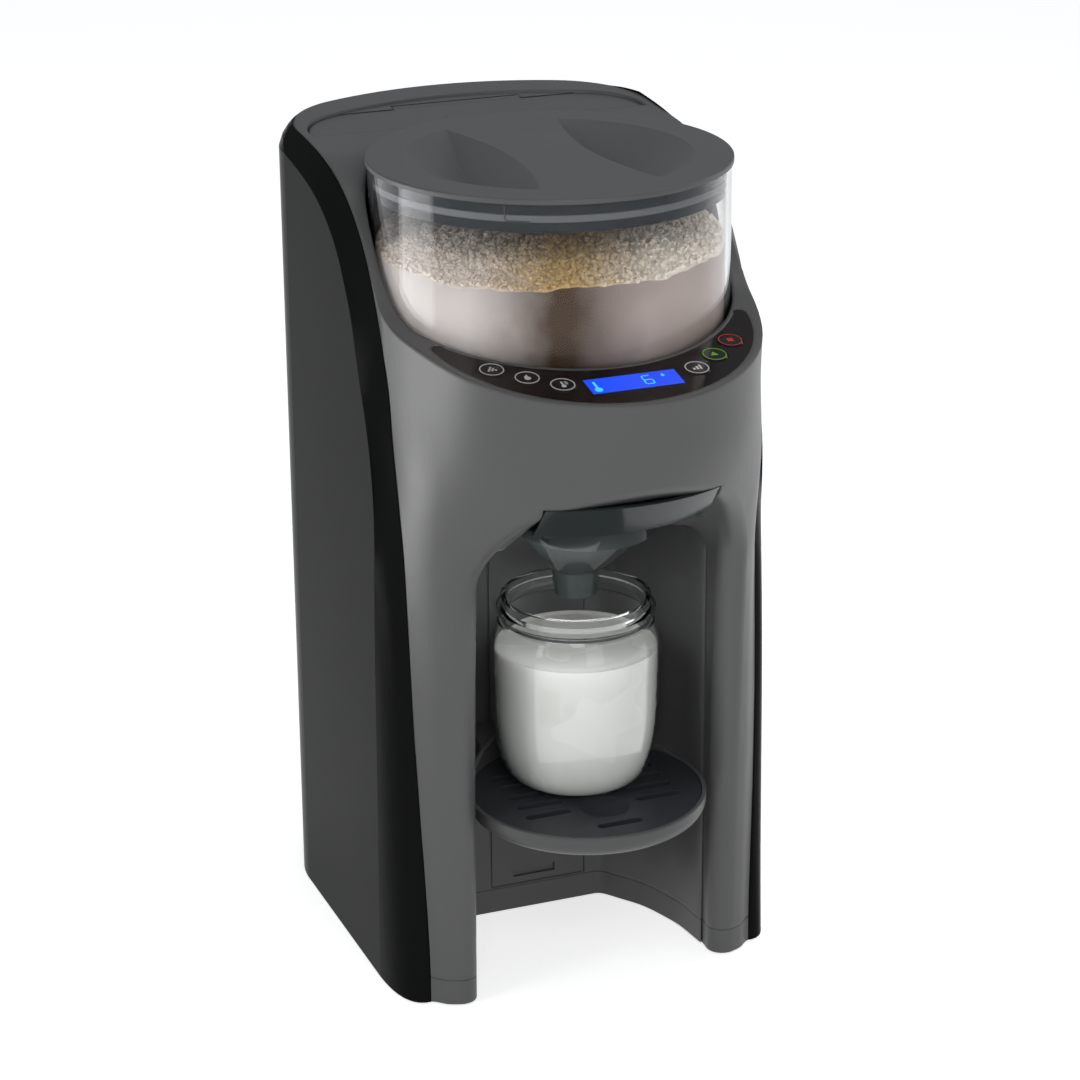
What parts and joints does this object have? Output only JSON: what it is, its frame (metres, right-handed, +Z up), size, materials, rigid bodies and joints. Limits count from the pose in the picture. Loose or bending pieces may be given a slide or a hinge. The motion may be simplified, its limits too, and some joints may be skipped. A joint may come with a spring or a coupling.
{
  "type": "baby formula maker",
  "caption": "Countertop baby formula maker: powder hopper with lid, button fascia, removable funnel and drip tray around a bottle bay, water tank behind.",
  "frame": {"origin": "bottom centre of the bounding box, on the surface it stands on", "axes": "front faces -Y, +X to the right seen from the front, +Z up"},
  "size_m": [0.176, 0.2512, 0.3564],
  "materials": {
    "housing_grey": "satin moulded",
    "wrap_black": "gloss moulded",
    "fascia_black": "mirror gloss",
    "display_blue": "backlit window",
    "button_black": "gloss, printed marks",
    "jar_clear": "clear",
    "bottle_clear": "clear",
    "smoke_clear": "smoked translucent",
    "grid_black": "fine satin",
    "powder": "fine powder",
    "milk": "liquid",
    "inner_plastic": "moulded",
    "gear_white": "acetal",
    "steel": "bright",
    "motor_metal": "plated can",
    "board_green": "laminate",
    "silicone": "soft",
    "rubber": "matte"
  },
  "bodies": {
    "housing": {"front_housing": "housing_grey", "rear_housing": "wrap_black", "base_shell": "housing_grey", "rubber_feet": "rubber", "base_screws": "steel", "bay_back_panel": "housing_grey", "control_fascia": "fascia_black", "lcd_window": "display_blue", "lcd_module": "motor_metal", "control_board": "board_green", "button_switches": "board_green", "hopper_seat": "inner_plastic", "drive_bush": "gear_white", "powder_chute": "inner_plastic", "gear_motor": "motor_metal", "motor_bracket": "steel", "funnel_guide": "inner_plastic", "water_nozzle": "steel", "tank_cradle": "inner_plastic", "valve_seal": "silicone", "chassis": "inner_plastic", "pump": "motor_metal", "heater": "motor_metal", "heater_clamp": "steel", "main_board": "board_green", "mains_transformer": "motor_metal", "suction_hose": "silicone", "pump_hose": "silicone", "nozzle_hose": "silicone", "power_inlet": "inner_plastic"},
    "drive": {"drive_shaft": "steel", "drive_gear": "gear_white"},
    "rotor": {"motor_shaft": "steel", "motor_pinion": "gear_white"},
    "hopper_lift": {"hopper_seal": "silicone"},
    "hopper": {"hopper_floor": "housing_grey", "hopper_jar": "jar_clear", "powder_scraper": "inner_plastic", "powder_fill": "powder"},
    "wheel": {"dispensing_wheel": "inner_plastic"},
    "lid_lift": {"lid_seal": "silicone"},
    "lid": {"lid_cap": "housing_grey", "lid_skirt": "smoke_clear"},
    "funnel": {"funnel": "smoke_clear"},
    "tray_carrier": {"tray_bracket": "housing_grey"},
    "tray": {"tray_bowl": "housing_grey", "tray_grid": "grid_black"},
    "bottle": {"bottle": "bottle_clear", "formula_fill": "milk"},
    "tank": {"water_tank": "jar_clear", "tank_lid_pin": "steel"},
    "tank_lid": {"tank_lid": "housing_grey"},
    "tank_valve": {"tank_valve": "inner_plastic"},
    "button_powder": {"button_powder": "button_black"},
    "button_water": {"button_water": "button_black"},
    "button_warmth": {"button_warmth": "button_black"},
    "button_volume": {"button_volume": "button_black"},
    "button_start": {"button_start": "button_black"},
    "button_stop": {"button_stop": "button_black"}
  },
  "joints": [
    {"name": "drive_turn", "type": "hinge", "parent": "housing", "child": "drive", "pos_m": [0, -0.017, 0.24], "axis": [0, 0, 1], "continuous": true},
    {"name": "rotor_turn", "type": "hinge", "parent": "housing", "child": "rotor", "pos_m": [0, 0.025, 0.24], "axis": [0, 0, 1], "continuous": true},
    {"name": "hopper_out", "type": "slide", "parent": "housing", "child": "hopper_lift", "axis": [0, 0, 1], "range_m": [0, 0.11]},
    {"name": "hopper_twist", "type": "hinge", "parent": "hopper_lift", "child": "hopper", "pos_m": [0, -0.017, 0.26], "axis": [0, 0, 1], "range_deg": [-30, 0]},
    {"name": "wheel_turn", "type": "hinge", "parent": "hopper", "child": "wheel", "pos_m": [0, -0.017, 0.27], "axis": [0, 0, 1], "continuous": true},
    {"name": "lid_off", "type": "slide", "parent": "hopper", "child": "lid_lift", "axis": [0, 0, 1], "range_m": [0, 0.08]},
    {"name": "lid_twist", "type": "hinge", "parent": "lid_lift", "child": "lid", "pos_m": [0, -0.017, 0.35], "axis": [0, 0, 1], "range_deg": [0, 40]},
    {"name": "funnel_out", "type": "slide", "parent": "housing", "child": "funnel", "axis": [0, -1, 0], "range_m": [0, 0.1]},
    {"name": "tray_height", "type": "slide", "parent": "housing", "child": "tray_carrier", "axis": [0, 0, -1], "range_m": [0, 0.06]},
    {"name": "tray_out", "type": "slide", "parent": "tray_carrier", "child": "tray", "axis": [0, -1, 0], "range_m": [0, 0.1]},
    {"name": "bottle_out", "type": "slide", "parent": "tray", "child": "bottle", "axis": [0, -1, 0], "range_m": [0, 0.1]},
    {"name": "tank_out", "type": "slide", "parent": "housing", "child": "tank", "axis": [0, 0, 1], "range_m": [0, 0.33]},
    {"name": "tank_lid_open", "type": "hinge", "parent": "tank", "child": "tank_lid", "pos_m": [0, 0.0952, 0.35244], "axis": [-1, 0, 0], "range_deg": [0, 95]},
    {"name": "valve_push", "type": "slide", "parent": "tank", "child": "tank_valve", "axis": [0, 0, 1], "range_m": [0, 0.0025], "stiffness_N_per_m": 150},
    {"name": "press_powder", "type": "slide", "parent": "housing", "child": "button_powder", "axis": [0, 0.1867, -0.9824], "range_m": [0, 0.0007], "stiffness_N_per_m": 400},
    {"name": "press_water", "type": "slide", "parent": "housing", "child": "button_water", "axis": [0, 0.1867, -0.9824], "range_m": [0, 0.0007], "stiffness_N_per_m": 400},
    {"name": "press_warmth", "type": "slide", "parent": "housing", "child": "button_warmth", "axis": [0, 0.1867, -0.9824], "range_m": [0, 0.0007], "stiffness_N_per_m": 400},
    {"name": "press_volume", "type": "slide", "parent": "housing", "child": "button_volume", "axis": [0, 0.1867, -0.9824], "range_m": [0, 0.0007], "stiffness_N_per_m": 400},
    {"name": "press_start", "type": "slide", "parent": "housing", "child": "button_start", "axis": [0, 0.1867, -0.9824], "range_m": [0, 0.0007], "stiffness_N_per_m": 400},
    {"name": "press_stop", "type": "slide", "parent": "housing", "child": "button_stop", "axis": [0, 0.1867, -0.9824], "range_m": [0, 0.0007], "stiffness_N_per_m": 400}
  ],
  "couplings": [
    {"joint": "rotor_turn", "follows": "drive_turn", "ratio": -3},
    {"joint": "wheel_turn", "follows": "drive_turn", "ratio": 1}
  ]
}
